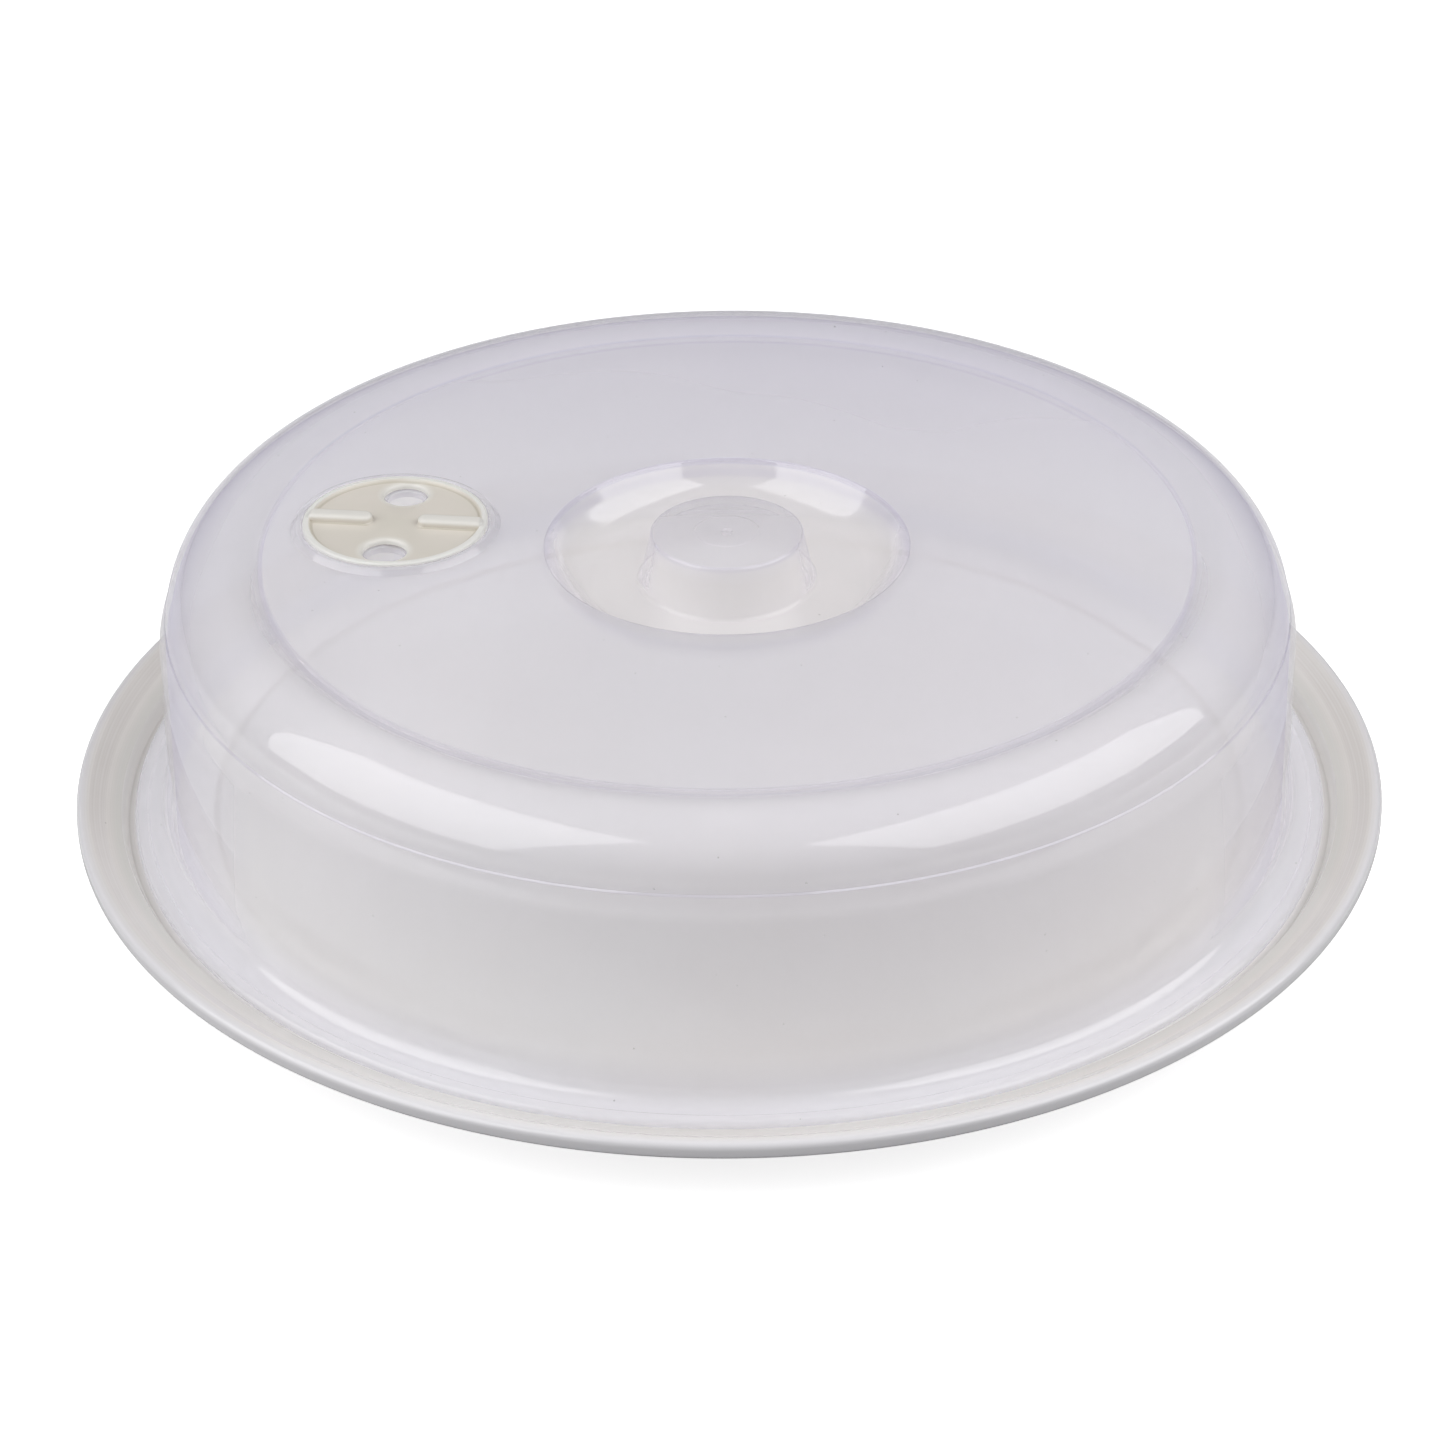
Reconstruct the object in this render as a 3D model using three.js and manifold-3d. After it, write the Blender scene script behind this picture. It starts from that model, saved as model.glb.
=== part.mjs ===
// Vented food cover on its plate: a round white plate, a clear dome lid with a moulded-in grip,
// and a round vent dial that turns on the lid. Millimetres, +Z up. The plate stands on z = 0 with
// its centre at the origin, and the vent dial lies on the -X side of the lid.
import * as THREE from 'three';
import { mergeVertices } from 'three/addons/utils/BufferGeometryUtils.js';
import Module from 'manifold-3d';

const wasm = await Module();
wasm.setup();

// ---------------------------------------------------------------- driving dimensions
const RING_SEGMENTS = 60; // facets round the plate and the lid
const DIAL_SEGMENTS = 36; // facets round the dial, its seat and its stem
const HOLE_SEGMENTS = 20; // facets round a vent hole
const ARC_STEP = Math.PI / 5; // largest turn between two points of a rounded corner
const SHOULDER_STEP = Math.PI / 9; // the same along the lid's big shoulder
const SOFT_EDGE = 0.5; // rounding of an ordinary moulded edge
const OVERLAP = 1; // how far a cutting or joining solid reaches past the face it meets
const RUNNING_GAP = 0.3; // clearance between two pieces that meet

const PLATE = {
  rimRadius: 150,
  rimTop: 20.3,
  rimBottom: 16.6,
  rimWidth: 2.9,
  rimRounding: 1.4,
  rimFlank: 1.0, // rounding of the rim's other edges
  wall: 2.0,
  terraceRadius: 143.6, // outer edge of the shallow terrace inside the rim
  terraceTop: 17.9,
  terraceRounding: 1.5,
  stepRadius: 139.9, // top of the step that centres the lid
  stepTop: 17.1,
  ledgeRadius: 138.6,
  ledgeTop: 14.1, // the lid's flange rests here
  ledgeInnerRadius: 119,
  ledgeRounding: 2,
  floorRadius: 108,
  floorRounding: 6,
  floorTop: 4.4,
  footRadius: 95,
  footWidth: 3.6,
  footHeight: 2.4,
  footDraft: 0.4,
};

const LID = {
  wall: 1.4,
  flangeRadius: 137,
  flangeBottom: PLATE.ledgeTop + RUNNING_GAP,
  flangeThickness: 1.5,
  beadWidth: 3.4, // low bead round the flange's outer edge
  beadHeight: 0.5,
  beadSlope: 0.6,
  beadRounding: 1.2,
  flangeFillet: 3.6,
  skirtFootRadius: 128.7, // outside of the wall where it turns into the flange
  skirtTopRadius: 128.2, // outside of the wall below the shoulder
  skirtTop: 60.5,
  skirtRounding: 8,
  seamHeight: 65.5, // fine step round the foot of the shoulder
  seamStep: 0.35,
  shoulderCentreRadius: 112.1, // the shoulder is a round bulge about this ring
  shoulderCentreHeight: 64.7,
  shoulderBulge: 14.4,
  panelTop: 77.1,
  wellEdgeRadius: 41, // where the panel drops into the well
  wellWallRadius: 36.4, // where the sloping wall would meet the well's floor
  wellFloor: 68.0,
  wellFillet: 10,
  knobTop: 80.2,
  knobEdge: 0.8,
  knobFillet: 1.2,
  knobTopRadius: 17.2,
  knobBaseRadius: 19.7,
};

const VENT = {
  offset: 75.7, // distance from the lid's axis to the dial's axis
  seatRadius: 21.4,
  seatDepth: 0.7, // the seat's floor, below the panel
  collarHeight: 1.35, // the collar round the seat, above the panel
  collarTopRadius: 22.6,
  collarFootRadius: 23.8,
  padRadius: 24.2,
  holeOrbit: 13.3, // from the dial's axis to a vent hole's axis
  lidHoleRadius: 4.3,
  stemHoleRadius: 3.4,
};

const DIAL = {
  radius: 21,
  face: 78.0,
  rimTop: 78.75,
  rimWidth: 1.9,
  rimSlope: 0.5, // how far the rim's inner side leans
  rimRounding: 0.2,
  holeRadius: 5.0,
  flareRadius: 5.7,
  flareDepth: 0.7,
  ribInner: 5.2, // distance from the dial's axis to a rib's round end
  ribOuter: 19.9,
  ribWidth: 3.9,
  ribHeight: 1.75,
  ribRounding: 0.9,
  stemRadius: 3.0,
  barbRadius: 4.3,
  barbDrop: 0.4, // play below the lid before the barb catches
  barbLength: 2.2,
  barbTaper: 0.4, // how much narrower than the stem the barb's tip is
  slotWidth: 1.2,
};

const seatFloor = LID.panelTop - VENT.seatDepth;
const padBottom = seatFloor - LID.wall;
const dialBottom = seatFloor + RUNNING_GAP;

// ---------------------------------------------------------------- profile helpers
// A corner of a profile: distance from the axis, height, and the radius that rounds it.
function corner(r, z, rounding = 0) {
  return { point: new THREE.Vector2(r, z), rounding };
}

// Points round one corner, from the incoming side to the outgoing side.
function roundCorner(before, { point, rounding }, after) {
  if (rounding === 0) return [point];
  const inward = before.clone().sub(point).normalize();
  const outward = after.clone().sub(point).normalize();
  const halfAngle = Math.acos(THREE.MathUtils.clamp(inward.dot(outward), -1, 1)) / 2;
  const reach = rounding / Math.tan(halfAngle);
  const start = point.clone().addScaledVector(inward, reach);
  const bisector = inward.clone().add(outward).normalize();
  const centre = point.clone().addScaledVector(bisector, rounding / Math.sin(halfAngle));
  const sweep = Math.PI - 2 * halfAngle;
  const steps = Math.max(1, Math.ceil(sweep / ARC_STEP));
  const turn = Math.sign(inward.cross(outward)) * -sweep;
  return Array.from({ length: steps + 1 }, (_, i) =>
    start.clone().rotateAround(centre, (turn * i) / steps),
  );
}

// A path through corners whose first and last points lie on the axis.
function roundedProfile(corners) {
  return corners.flatMap((here, i) => {
    if (i === 0 || i === corners.length - 1) return [here.point];
    return roundCorner(corners[i - 1].point, here, corners[i + 1].point);
  });
}

// ---------------------------------------------------------------- solid helpers
function toSolid(geometry) {
  const bare = geometry.clone();
  bare.deleteAttribute('normal');
  bare.deleteAttribute('uv');
  const merged = mergeVertices(bare, 1e-3);
  const index = Array.from(merged.index.array);
  const triangles = [];
  for (let i = 0; i < index.length; i += 3) {
    const [a, b, c] = index.slice(i, i + 3);
    if (a !== b && b !== c && c !== a) triangles.push(a, b, c);
  }
  return new wasm.Manifold(
    new wasm.Mesh({
      numProp: 3,
      vertProperties: new Float32Array(merged.attributes.position.array),
      triVerts: new Uint32Array(triangles),
    }),
  );
}

// Turns a profile of (radius, height) points about the Z axis; the profile runs from the top of
// the piece, outwards and back along its underside.
function turned(points, segments) {
  const geometry = new THREE.LatheGeometry([...points].reverse(), segments);
  geometry.rotateX(Math.PI / 2);
  return toSolid(geometry);
}

// A round plug from height low to height high, used to cut holes and to add bosses.
function plug(radiusLow, radiusHigh, low, high, segments) {
  const geometry = new THREE.CylinderGeometry(radiusHigh, radiusLow, high - low, segments);
  geometry.rotateX(Math.PI / 2);
  geometry.translate(0, 0, (low + high) / 2);
  return toSolid(geometry);
}

function toMesh(name, solid, material) {
  const { vertProperties, triVerts } = solid.getMesh();
  const geometry = new THREE.BufferGeometry();
  geometry.setAttribute('position', new THREE.BufferAttribute(vertProperties, 3));
  geometry.setIndex(new THREE.BufferAttribute(triVerts, 1));
  const mesh = new THREE.Mesh(geometry, material);
  mesh.name = name;
  return mesh;
}

// The two vent holes lie across the dial from each other, on the Y direction.
const holePlaces = [-1, 1].map((side) => [0, side * VENT.holeOrbit, 0]);

// ---------------------------------------------------------------- plate
function plateTop() {
  const p = PLATE;
  return [
    corner(0, p.floorTop),
    corner(p.floorRadius, p.floorTop, p.floorRounding),
    corner(p.ledgeInnerRadius, p.ledgeTop, p.ledgeRounding),
    corner(p.ledgeRadius, p.ledgeTop, SOFT_EDGE),
    corner(p.stepRadius, p.stepTop, SOFT_EDGE),
    corner(p.terraceRadius, p.terraceTop, p.terraceRounding),
    corner(p.rimRadius - p.rimWidth, p.rimTop, p.rimFlank),
    corner(p.rimRadius, p.rimTop, p.rimRounding),
  ];
}

function plateUnderside() {
  const p = PLATE;
  const rimInner = p.rimRadius - p.rimWidth;
  const footOuter = p.footRadius + p.footWidth / 2;
  const footInner = p.footRadius - p.footWidth / 2;
  const sideShift = p.wall * 0.6; // carries the wall's thickness round the sloping side
  return [
    corner(p.rimRadius, p.rimBottom, p.rimFlank),
    corner(rimInner + SOFT_EDGE, p.rimBottom, SOFT_EDGE),
    corner(rimInner, p.rimBottom + SOFT_EDGE * 2, SOFT_EDGE),
    corner(p.terraceRadius + SOFT_EDGE, p.terraceTop - p.wall),
    corner(p.stepRadius + p.wall, p.stepTop - p.wall, p.rimFlank),
    corner(p.ledgeRadius + p.wall, p.ledgeTop - p.wall, p.rimFlank),
    corner(p.ledgeInnerRadius + sideShift, p.ledgeTop - p.wall, p.ledgeRounding),
    corner(p.floorRadius + sideShift, p.footHeight, p.floorRounding),
    corner(footOuter + p.footDraft, p.footHeight),
    corner(footOuter, 0),
    corner(footInner, 0),
    corner(footInner - p.footDraft, p.footHeight),
    corner(0, p.footHeight),
  ];
}

function plateSolid() {
  return turned(roundedProfile([...plateTop(), ...plateUnderside()]), RING_SEGMENTS);
}

// ---------------------------------------------------------------- lid
// Points along the shoulder's bulge, drawn at a distance from its centre ring. Heights below the
// panel are on its outer side.
function bulge(radius, fromHeight, toHeight) {
  const d = LID;
  const angleAt = (height) => Math.asin((height - d.shoulderCentreHeight) / radius);
  const inner = Math.PI - angleAt(fromHeight);
  const outer = angleAt(toHeight);
  const steps = Math.ceil((inner - outer) / SHOULDER_STEP);
  return Array.from({ length: steps + 1 }, (_, i) => {
    const angle = inner + ((outer - inner) * i) / steps;
    return corner(
      d.shoulderCentreRadius + radius * Math.cos(angle),
      d.shoulderCentreHeight + radius * Math.sin(angle),
    );
  });
}

function lidOutside() {
  const d = LID;
  const flangeTop = d.flangeBottom + d.flangeThickness;
  const beadTop = flangeTop + d.beadHeight;
  const beadInner = d.flangeRadius - d.beadWidth;
  const shoulder = bulge(d.shoulderBulge, d.panelTop, d.seamHeight);
  const seam = shoulder[shoulder.length - 1].point;
  return [
    corner(0, d.knobTop),
    corner(d.knobTopRadius, d.knobTop, d.knobEdge),
    corner(d.knobBaseRadius, d.wellFloor, d.knobFillet),
    corner(d.wellWallRadius, d.wellFloor, d.wellFillet),
    corner(d.wellEdgeRadius, d.panelTop, SOFT_EDGE),
    ...shoulder,
    corner(seam.x + d.seamStep, seam.y - d.seamStep),
    corner(d.skirtTopRadius, d.skirtTop, d.skirtRounding),
    corner(d.skirtFootRadius, flangeTop, d.flangeFillet),
    corner(beadInner, flangeTop, SOFT_EDGE),
    corner(beadInner + d.beadSlope, beadTop, SOFT_EDGE),
    corner(d.flangeRadius, beadTop, d.beadRounding),
    corner(d.flangeRadius, d.flangeBottom),
  ];
}

function lidInside() {
  const d = LID;
  const ceiling = d.panelTop - d.wall;
  const wellShift = d.wall * 0.65; // carries the wall's thickness round the sloping well
  const shoulder = bulge(d.shoulderBulge - d.wall, ceiling, d.shoulderCentreHeight);
  return [
    corner(d.skirtFootRadius - d.wall, d.flangeBottom, d.flangeFillet - d.wall),
    corner(d.skirtTopRadius - d.wall, d.skirtTop, d.skirtRounding),
    ...shoulder.reverse(),
    corner(d.wellEdgeRadius + wellShift, ceiling, d.wall),
    corner(d.wellWallRadius + wellShift, d.wellFloor - d.wall, d.wellFillet + d.wall),
    corner(d.knobBaseRadius - d.wall, d.wellFloor - d.wall, d.wall),
    corner(d.knobTopRadius - d.wall, d.knobTop - d.wall, d.knobEdge),
    corner(0, d.knobTop - d.wall),
  ];
}

// The dial's seat: a raised collar round a shallow pocket, and a pad below it, so that the wall
// keeps its thickness. One hole takes the dial's stem and two let steam out.
function lidSolid() {
  const v = VENT;
  const through = [padBottom - OVERLAP, seatFloor + OVERLAP];
  const collarTop = LID.panelTop + v.collarHeight;
  const bossProfile = [
    corner(0, collarTop),
    corner(v.collarTopRadius, collarTop, SOFT_EDGE),
    corner(v.collarFootRadius, LID.panelTop),
    corner(v.padRadius, seatFloor),
    corner(v.padRadius, padBottom),
    corner(0, padBottom),
  ];
  const boss = turned(roundedProfile(bossProfile), DIAL_SEGMENTS);
  const pocket = [seatFloor, collarTop + OVERLAP];
  const seat = plug(v.seatRadius, v.seatRadius, ...pocket, DIAL_SEGMENTS);
  const stemHole = plug(v.stemHoleRadius, v.stemHoleRadius, ...through, HOLE_SEGMENTS);
  const ventHole = plug(v.lidHoleRadius, v.lidHoleRadius, ...through, HOLE_SEGMENTS);
  const cuts = [seat, stemHole, ...holePlaces.map((place) => ventHole.translate(place))];
  const centre = [-v.offset, 0, 0];
  let solid = turned(roundedProfile([...lidOutside(), ...lidInside()]), RING_SEGMENTS);
  solid = solid.add(boss.translate(centre));
  for (const cut of cuts) {
    solid = solid.subtract(cut.translate(centre));
  }
  return solid;
}

// ---------------------------------------------------------------- vent dial
function dialDisc() {
  const d = DIAL;
  const faceRadius = d.radius - d.rimWidth;
  const profile = roundedProfile([
    corner(0, d.face),
    corner(faceRadius, d.face),
    corner(faceRadius + d.rimSlope, d.rimTop, d.rimRounding),
    corner(d.radius, d.rimTop, SOFT_EDGE),
    corner(d.radius, dialBottom, SOFT_EDGE),
    corner(0, dialBottom),
  ]);
  return turned(profile, DIAL_SEGMENTS);
}

// A finger rib with a round inner end and a rounded top, lying along +X.
function dialRib() {
  const d = DIAL;
  const halfWidth = d.ribWidth / 2 - d.ribRounding;
  const inner = d.ribInner + d.ribWidth / 2;
  const outer = d.ribOuter - d.ribRounding;
  const outline = new THREE.Shape();
  outline.moveTo(outer, -halfWidth);
  outline.lineTo(outer, halfWidth);
  outline.lineTo(inner, halfWidth);
  outline.absarc(inner, 0, halfWidth, Math.PI / 2, Math.PI * 1.5, false);
  const geometry = new THREE.ExtrudeGeometry(outline, {
    depth: d.ribHeight - d.ribRounding,
    curveSegments: 6,
    bevelThickness: d.ribRounding,
    bevelSize: d.ribRounding,
    bevelSegments: 3,
  });
  geometry.translate(0, 0, d.face);
  return toSolid(geometry);
}

// The stem that holds the dial on the lid: a round pin with a barbed end, split so that it springs.
function dialStem() {
  const d = DIAL;
  const barbTop = padBottom - d.barbDrop;
  const tip = barbTop - d.barbLength;
  const slotTop = seatFloor - OVERLAP;
  const slotBottom = tip - OVERLAP;
  const pin = plug(d.stemRadius, d.stemRadius, barbTop, dialBottom + OVERLAP, HOLE_SEGMENTS);
  const barb = plug(d.stemRadius - d.barbTaper, d.barbRadius, tip, barbTop, HOLE_SEGMENTS);
  const slot = new THREE.BoxGeometry(d.barbRadius * 3, d.slotWidth, slotTop - slotBottom);
  slot.translate(0, 0, (slotTop + slotBottom) / 2);
  return pin.add(barb).subtract(toSolid(slot));
}

function dialSolid() {
  const d = DIAL;
  const hole = plug(d.holeRadius, d.holeRadius, dialBottom - OVERLAP, d.face, HOLE_SEGMENTS);
  const flare = plug(d.holeRadius, d.flareRadius, d.face - d.flareDepth, d.face, HOLE_SEGMENTS);
  let solid = dialDisc().add(dialStem());
  for (const turn of [0, 180]) {
    solid = solid.add(dialRib().rotate([0, 0, turn]));
  }
  for (const place of holePlaces) {
    solid = solid.subtract(hole.translate(place)).subtract(flare.translate(place));
  }
  return solid;
}

// ---------------------------------------------------------------- materials
const whitePlastic = new THREE.MeshStandardMaterial({
  color: 0xf1efea,
  roughness: 0.22,
  metalness: 0,
});

const clearPlastic = new THREE.MeshStandardMaterial({
  color: 0xe4e3e8,
  roughness: 0.12,
  metalness: 0,
  transparent: true,
  opacity: 0.45,
});

const ivoryPlastic = new THREE.MeshStandardMaterial({
  color: 0xe6e3d3,
  roughness: 0.35,
  metalness: 0,
});

// ---------------------------------------------------------------- assembly
const group = new THREE.Group();
group.add(toMesh('plate', plateSolid(), whitePlastic));

const lidGroup = new THREE.Group();
lidGroup.add(toMesh('dome_lid', lidSolid(), clearPlastic));

const dial = toMesh('vent_dial', dialSolid(), ivoryPlastic);
dial.position.set(-VENT.offset, 0, 0);
lidGroup.add(dial);
group.add(lidGroup);

export default group;
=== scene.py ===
"""Looks of the vented food cover: a white plate, a clear dome lid and an ivory vent dial.

Sizes are the model's driving dimensions in millimetres, turned into metres when meshes are made.
"""

import math

import bmesh
import bpy
from mathutils import Matrix, Vector


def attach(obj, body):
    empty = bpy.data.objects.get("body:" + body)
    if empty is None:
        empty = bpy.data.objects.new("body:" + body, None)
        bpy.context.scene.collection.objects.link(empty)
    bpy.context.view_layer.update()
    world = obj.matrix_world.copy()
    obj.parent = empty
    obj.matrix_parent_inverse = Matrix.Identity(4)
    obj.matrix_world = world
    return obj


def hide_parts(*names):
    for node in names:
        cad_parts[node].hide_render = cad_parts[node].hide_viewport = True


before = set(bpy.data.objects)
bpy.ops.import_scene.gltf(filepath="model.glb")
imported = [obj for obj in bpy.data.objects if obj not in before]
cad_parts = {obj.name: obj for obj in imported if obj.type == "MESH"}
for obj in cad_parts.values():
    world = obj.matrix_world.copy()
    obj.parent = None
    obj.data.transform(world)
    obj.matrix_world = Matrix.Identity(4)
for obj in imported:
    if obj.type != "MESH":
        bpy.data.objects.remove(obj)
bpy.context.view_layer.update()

MM = 0.001
RING_SEGMENTS = 240
DIAL_SEGMENTS = 144
HOLE_SEGMENTS = 64
CORNER_STEP = math.radians(11)
ARC_STEP = math.radians(4)
SHARP_EDGE = math.radians(26)
ON_AXIS = 1e-6
WELD_DISTANCE = 1e-5
SOFT_EDGE = 0.5
OVERLAP = 1.0
RUNNING_GAP = 0.3


# ---------------------------------------------------------------- profiles and meshes
def round_corner(before, here, after):
    """Points round one corner (radius, height, rounding) of a profile."""
    point = Vector(here[:2])
    rounding = here[2] if len(here) > 2 else 0
    if rounding == 0:
        return [point]
    inward = (Vector(before[:2]) - point).normalized()
    outward = (Vector(after[:2]) - point).normalized()
    half = math.acos(max(-1, min(1, inward.dot(outward)))) / 2
    start = point + inward * (rounding / math.tan(half))
    centre = point + (inward + outward).normalized() * (rounding / math.sin(half))
    sweep = math.pi - 2 * half
    count = max(2, math.ceil(sweep / CORNER_STEP))
    side = inward.x * outward.y - inward.y * outward.x
    turn = -sweep if side > 0 else sweep
    spoke = start - centre
    return [
        centre + Matrix.Rotation(turn * i / count, 2) @ spoke
        for i in range(count + 1)
    ]


def rounded_profile(corners):
    """A smooth path through corners; its first and last points are kept as they are."""
    path = [Vector(corners[0][:2])]
    for i in range(1, len(corners) - 1):
        path += round_corner(corners[i - 1], corners[i], corners[i + 1])
    return path + [Vector(corners[-1][:2])]


def arc(centre, radius, start, end):
    """Points of an arc in a profile, angles in radians from the outward direction."""
    count = math.ceil(abs(end - start) / ARC_STEP)
    angles = [start + (end - start) * i / count for i in range(count + 1)]
    return [
        (centre[0] + radius * math.cos(a), centre[1] + radius * math.sin(a)) for a in angles
    ]


def finish_mesh(bm, name):
    """Turns a bmesh in millimetres into an object in metres."""
    bmesh.ops.remove_doubles(bm, verts=bm.verts, dist=WELD_DISTANCE)
    bmesh.ops.recalc_face_normals(bm, faces=bm.faces)
    bmesh.ops.scale(bm, vec=(MM, MM, MM), verts=bm.verts)
    mesh = bpy.data.meshes.new(name)
    bm.to_mesh(mesh)
    bm.free()
    piece = bpy.data.objects.new(name, mesh)
    bpy.context.scene.collection.objects.link(piece)
    return piece


def turned(name, profile, segments, centre=(0, 0)):
    """Turns a closed profile, whose ends lie on the axis, about a vertical axis."""
    bm = bmesh.new()
    rings = []
    for r, z in profile:
        if r < ON_AXIS:
            rings.append([bm.verts.new((centre[0], centre[1], z))])
            continue
        angles = [2 * math.pi * i / segments for i in range(segments)]
        rings.append(
            [
                bm.verts.new((centre[0] + r * math.cos(a), centre[1] + r * math.sin(a), z))
                for a in angles
            ]
        )
    for low, high in zip(rings, rings[1:]):
        for i in range(segments):
            j = (i + 1) % segments
            ends = ((low, i), (low, j), (high, j), (high, i))
            corners = [ring[k % len(ring)] for ring, k in ends]
            unique = list(dict.fromkeys(corners))
            if len(unique) > 2:
                bm.faces.new(unique)
    return finish_mesh(bm, name)


def combine(piece, tool, operation):
    """Adds or cuts one solid with another and removes the tool."""
    step = piece.modifiers.new("step", "BOOLEAN")
    step.operation, step.object, step.solver = operation, tool, "EXACT"
    bpy.context.view_layer.update()
    shown = piece.evaluated_get(bpy.context.evaluated_depsgraph_get())
    result = bpy.data.meshes.new_from_object(shown)
    piece.modifiers.clear()
    old, piece.data = piece.data, result
    bpy.data.meshes.remove(old)
    bpy.data.objects.remove(tool)
    return piece


def smooth(piece):
    """Shades a piece smooth except along its sharp edges."""
    piece.data.shade_smooth()
    piece.data.set_sharp_from_angle(angle=SHARP_EDGE)


def flared_cutter(name, radius, low, top, flare, segments, centre):
    """A round cutter whose top edge opens out, so that the hole's edge comes out rounded."""
    steps = 6
    lip = [
        (radius + flare * (1 - math.cos(a)), top - flare * (1 - math.sin(a)))
        for a in (math.pi / 2 * i / steps for i in range(steps + 1))
    ]
    above = top + OVERLAP
    profile = [(0, low), (radius, low), *lip, (radius + flare, above), (0, above)]
    return turned(name, profile, segments, centre)


# ---------------------------------------------------------------- plate
RIM_RADIUS, RIM_TOP, RIM_BOTTOM, RIM_WIDTH = 150.0, 20.3, 16.6, 2.9
PLATE_WALL = 2.0
TERRACE_RADIUS, TERRACE_TOP = 143.6, 17.9
STEP_RADIUS, STEP_TOP = 139.9, 17.1
LEDGE_RADIUS, LEDGE_INNER, LEDGE_TOP = 138.6, 119.0, 14.1
FLOOR_RADIUS, FLOOR_TOP = 108.0, 4.4
FOOT_RADIUS, FOOT_WIDTH, FOOT_HEIGHT, FOOT_DRAFT = 95.0, 3.6, 2.4, 0.4
FOOT_EDGE = 0.4


def make_plate():
    """The plate as one turned solid, from the middle of its floor round to its foot ring."""
    rim_inner = RIM_RADIUS - RIM_WIDTH
    foot_out = FOOT_RADIUS + FOOT_WIDTH / 2
    foot_in = FOOT_RADIUS - FOOT_WIDTH / 2
    side = PLATE_WALL * 0.6
    return turned(
        "plate_moulding",
        rounded_profile(
            [
                (0, FLOOR_TOP),
                (FLOOR_RADIUS, FLOOR_TOP, 6),
                (LEDGE_INNER, LEDGE_TOP, 2),
                (LEDGE_RADIUS, LEDGE_TOP, 0.5),
                (STEP_RADIUS, STEP_TOP, 0.5),
                (TERRACE_RADIUS, TERRACE_TOP, 1.5),
                (rim_inner, RIM_TOP, 1.0),
                (RIM_RADIUS, RIM_TOP, 1.4),
                (RIM_RADIUS, RIM_BOTTOM, 1.0),
                (rim_inner + SOFT_EDGE, RIM_BOTTOM, 0.5),
                (rim_inner, RIM_BOTTOM + SOFT_EDGE * 2, 0.5),
                (TERRACE_RADIUS + SOFT_EDGE, TERRACE_TOP - PLATE_WALL, 1.5),
                (STEP_RADIUS + PLATE_WALL, STEP_TOP - PLATE_WALL, 1.0),
                (LEDGE_RADIUS + PLATE_WALL, LEDGE_TOP - PLATE_WALL, 1.0),
                (LEDGE_INNER + side, LEDGE_TOP - PLATE_WALL, 2),
                (FLOOR_RADIUS + side, FOOT_HEIGHT, 6),
                (foot_out + FOOT_DRAFT, FOOT_HEIGHT, 0.6),
                (foot_out, 0, FOOT_EDGE),
                (foot_in, 0, FOOT_EDGE),
                (foot_in - FOOT_DRAFT, FOOT_HEIGHT, 0.6),
                (0, FOOT_HEIGHT),
            ]
        ),
        RING_SEGMENTS,
    )


# ---------------------------------------------------------------- lid
LID_WALL = 1.4
FLANGE_RADIUS, FLANGE_BOTTOM, FLANGE_THICKNESS = 137.0, LEDGE_TOP + RUNNING_GAP, 1.5
BEAD_WIDTH, BEAD_HEIGHT, BEAD_SLOPE, BEAD_ROUNDING = 3.4, 0.5, 0.6, 1.2
SKIRT_FOOT, SKIRT_HEAD, SKIRT_TOP = 128.7, 128.2, 60.5
SEAM_HEIGHT, SEAM_STEP = 65.5, 0.35
SHOULDER_CENTRE, SHOULDER_BULGE = (112.1, 64.7), 14.4
PANEL_TOP, PANEL_FILLET, PANEL_EDGE = 77.1, 0.9, 104.75
WELL_EDGE = 41.0
WELL_RADIUS, WELL_FLOOR, WELL_FILLET = 36.4, 68.0, 10
GRIP_TOP, GRIP_TOP_RADIUS, GRIP_BASE_RADIUS = 80.2, 17.2, 19.7
GATE_RADIUS, GATE_DEPTH = 1.3, 0.3
GATE_RING, GATE_RING_DEPTH = 7.0, 0.08
VENT_OFFSET = 75.7
SEAT_RADIUS, SEAT_DEPTH, PAD_RADIUS = 21.4, 0.7, 24.2
COLLAR_HEIGHT, COLLAR_TOP_RADIUS, COLLAR_FOOT_RADIUS = 1.35, 22.6, 23.8
COLLAR_BLEND = 0.1
HOLE_ORBIT, LID_HOLE, STEM_HOLE = 13.3, 4.3, 3.4
SEAT_FLOOR = PANEL_TOP - SEAT_DEPTH
COLLAR_TOP = PANEL_TOP + COLLAR_HEIGHT
PAD_BOTTOM = SEAT_FLOOR - LID_WALL
VENT_CENTRE = (-VENT_OFFSET, 0)
HOLE_CENTRES = [(-VENT_OFFSET, side * HOLE_ORBIT) for side in (-1, 1)]


def collar_boss():
    """The raised collar round the dial's seat, with the pad below it, before the seat is cut."""
    profile = [
        (0, COLLAR_TOP),
        (COLLAR_TOP_RADIUS, COLLAR_TOP, 0.6),
        (COLLAR_FOOT_RADIUS - COLLAR_BLEND, PANEL_TOP + 0.12, 0.2),
        (COLLAR_FOOT_RADIUS + COLLAR_BLEND, PANEL_TOP - 0.05),
        (PAD_RADIUS, SEAT_FLOOR),
        (PAD_RADIUS, PAD_BOTTOM, 0.4),
        (0, PAD_BOTTOM),
    ]
    return turned("collar_boss", rounded_profile(profile), DIAL_SEGMENTS, VENT_CENTRE)


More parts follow.
